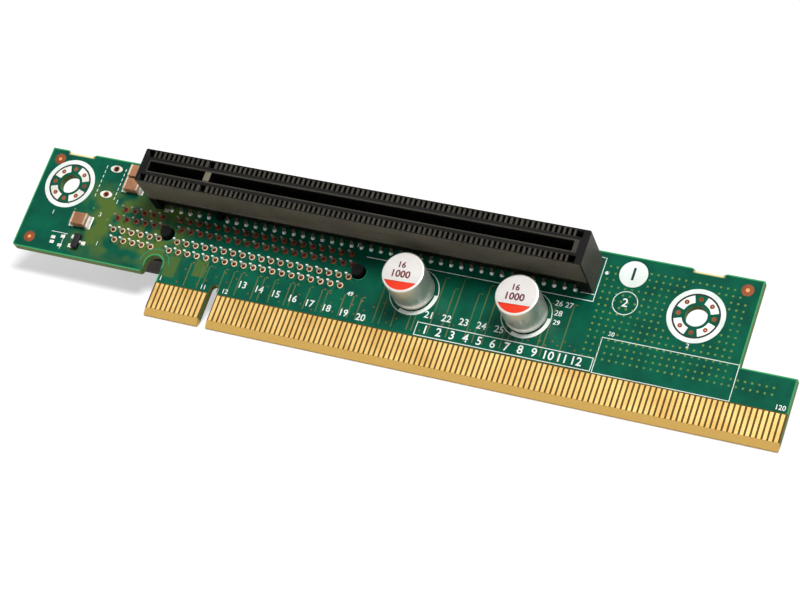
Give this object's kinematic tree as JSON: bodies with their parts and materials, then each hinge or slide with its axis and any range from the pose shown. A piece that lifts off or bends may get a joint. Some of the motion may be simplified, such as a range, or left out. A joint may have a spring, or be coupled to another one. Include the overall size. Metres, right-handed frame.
{
  "type": "pcie riser card",
  "caption": "PCI Express riser card: green board with a gold card edge, a long socket on its front, a shorter one on its back, two can capacitors and a few small parts.",
  "frame": {"origin": "centre line of the key notch, on the card edge, at the board's mid-plane (the card edge's mating datum)", "axes": "+X along the card edge from its short run of contacts to its long one, +Y from the card edge to the board's top edge, +Z out of the component side"},
  "size_m": [0.1549, 0.0301, 0.024],
  "materials": {
    "solder_mask": "satin",
    "gold_plate": "satin",
    "socket_plastic": "matte",
    "contact_metal": "satin",
    "can_metal": "satin",
    "bung_rubber": "matte",
    "lead_metal": "satin",
    "chip_ceramic": "matte",
    "end_cap_metal": "satin",
    "sot_plastic": "matte"
  },
  "bodies": {
    "root": {"pcb": "solder_mask", "edge_fingers_front": "gold_plate", "edge_fingers_back": "gold_plate", "front_socket_housing": "socket_plastic", "back_socket_housing": "socket_plastic", "front_contacts_inner_a": "contact_metal", "front_contacts_inner_b": "contact_metal", "front_contacts_outer_a": "contact_metal", "front_contacts_outer_b": "contact_metal", "back_contacts_inner_a": "contact_metal", "back_contacts_inner_b": "contact_metal", "back_contacts_outer_a": "contact_metal", "back_contacts_outer_b": "contact_metal", "capacitor_1_can": "can_metal", "capacitor_1_bung": "bung_rubber", "capacitor_1_leads": "lead_metal", "capacitor_2_can": "can_metal", "capacitor_2_bung": "bung_rubber", "capacitor_2_leads": "lead_metal", "chip_1_ceramic": "chip_ceramic", "chip_1_end_caps": "end_cap_metal", "chip_2_ceramic": "chip_ceramic", "chip_2_end_caps": "end_cap_metal", "chip_3_ceramic": "chip_ceramic", "chip_3_end_caps": "end_cap_metal", "sot_body": "sot_plastic", "sot_leads": "lead_metal"}
  },
  "joints": []
}
